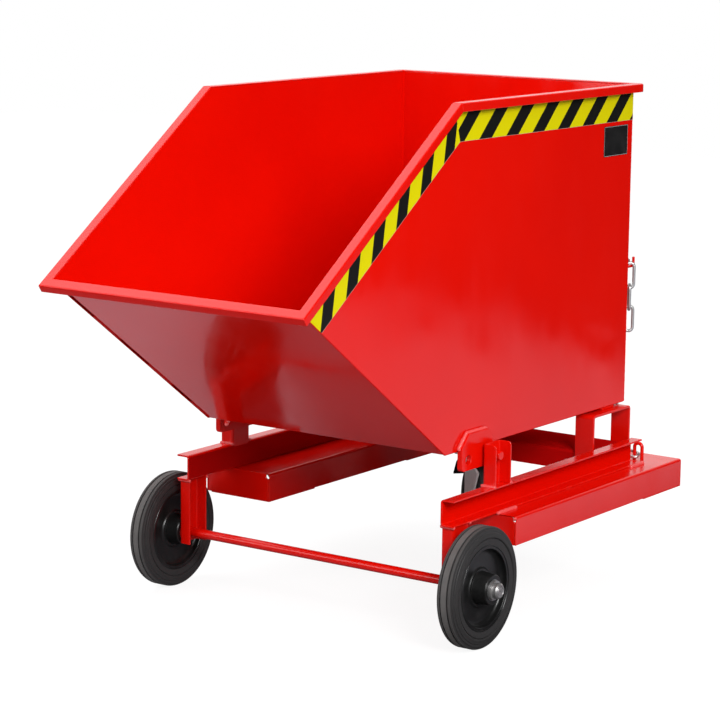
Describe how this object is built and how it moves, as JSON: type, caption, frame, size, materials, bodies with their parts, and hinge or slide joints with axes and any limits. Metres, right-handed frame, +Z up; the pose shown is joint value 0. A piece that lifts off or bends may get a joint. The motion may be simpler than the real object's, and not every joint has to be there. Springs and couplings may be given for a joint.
{
  "type": "box trolley",
  "caption": "Forward-tipping steel box trolley: sloping-mouth box on pivots, underframe with fork pockets, fixed front wheels, braked rear swivel castor and safety chain.",
  "frame": {"origin": "on the floor, under the middle of the trolley's bounding box", "axes": "+Z up, -Y towards the mouth over which the box tips, +X to the side with the hazard tape"},
  "size_m": [0.9, 1.3264, 1.088],
  "materials": {
    "red_paint": "glossy powder coat",
    "galvanised": "zinc plated, satin",
    "solid_rubber": "matt black rubber",
    "wheel_centre": "satin black moulding",
    "hazard_tape": "glossy film, yellow and black stripes",
    "type_plate": "matt black, blank",
    "brake_paint": "black coating"
  },
  "bodies": {
    "frame": {"rail_left": "red_paint", "rail_right": "red_paint", "fork_pocket_left": "red_paint", "fork_pocket_right": "red_paint", "pocket_straps": "red_paint", "cross_member": "red_paint", "castor_mount_plate": "red_paint", "wheel_leg_left": "red_paint", "wheel_leg_right": "red_paint", "tie_rod": "red_paint", "stub_axle_left": "galvanised", "stub_axle_right": "galvanised", "axle_spacers": "galvanised", "axle_washers": "galvanised", "axle_retaining_rings": "galvanised", "pivot_post_left": "red_paint", "pivot_post_right": "red_paint", "pivot_pins": "red_paint", "pivot_spacers": "red_paint", "pivot_collars": "red_paint", "rear_saddle_left": "red_paint", "rear_saddle_right": "red_paint", "chain_staple": "red_paint", "castor_top_plate": "galvanised", "castor_upper_race": "galvanised", "castor_king_bolt": "galvanised", "castor_king_nut": "galvanised", "castor_bolts": "galvanised", "castor_nuts": "galvanised"},
    "box": {"side_wall_left": "red_paint", "side_wall_right": "red_paint", "wrap_sheet": "red_paint", "upper_rim": "red_paint", "slanted_rim": "red_paint", "hinge_plate_left": "red_paint", "hinge_plate_right": "red_paint", "rest_pads": "red_paint", "hazard_tape_top": "hazard_tape", "hazard_tape_slanted": "hazard_tape", "type_plate": "type_plate", "chain_hook": "red_paint"},
    "wheel_left": {"wheel_tyre_left": "solid_rubber", "wheel_rim_left": "wheel_centre", "wheel_bearing_left": "galvanised"},
    "wheel_right": {"wheel_tyre_right": "solid_rubber", "wheel_rim_right": "wheel_centre", "wheel_bearing_right": "galvanised"},
    "castor": {"castor_fork": "galvanised", "castor_lower_race": "galvanised", "castor_balls": "galvanised", "castor_axle_bolt": "galvanised", "castor_axle_nut": "galvanised", "brake_pin": "galvanised"},
    "castor_wheel": {"castor_tyre": "solid_rubber", "castor_rim": "wheel_centre", "castor_bearing": "galvanised"},
    "brake": {"brake_pedal": "brake_paint", "brake_shoe": "solid_rubber"},
    "hung_chain": {"safety_chain": "galvanised"},
    "anchor_links": {"anchor_chain": "galvanised"}
  },
  "joints": [
    {"name": "box_tip", "type": "hinge", "parent": "frame", "child": "box", "pos_m": [0, -0.0128, 0.361], "axis": [1, 0, 0], "range_deg": [0, 55]},
    {"name": "wheel_left_spin", "type": "hinge", "parent": "frame", "child": "wheel_left", "pos_m": [-0.395, -0.1668, 0.125], "axis": [1, 0, 0], "continuous": true},
    {"name": "wheel_right_spin", "type": "hinge", "parent": "frame", "child": "wheel_right", "pos_m": [0.395, -0.1668, 0.125], "axis": [1, 0, 0], "continuous": true},
    {"name": "castor_swivel", "type": "hinge", "parent": "frame", "child": "castor", "pos_m": [0, 0.48245, 0.235], "axis": [0, 0, 1], "continuous": true},
    {"name": "castor_wheel_spin", "type": "hinge", "parent": "castor", "child": "castor_wheel", "pos_m": [-0.04022, 0.51996, 0.1], "axis": [0.682, 0.7314, 0], "continuous": true},
    {"name": "brake_press", "type": "hinge", "parent": "castor", "child": "brake", "pos_m": [-0.04534, 0.52473, 0.2095], "axis": [-0.682, -0.7314, 0], "range_deg": [0, 6]},
    {"name": "safety_chain_swing", "type": "hinge", "parent": "box", "child": "hung_chain", "pos_m": [0.3, 0.5812, 0.6856], "axis": [1, 0, 0], "range_deg": [0, 45]},
    {"name": "anchor_chain_swing", "type": "hinge", "parent": "frame", "child": "anchor_links", "pos_m": [0.318, 0.5987, 0.25], "axis": [0, 0, 1], "range_deg": [-35, 15]}
  ]
}
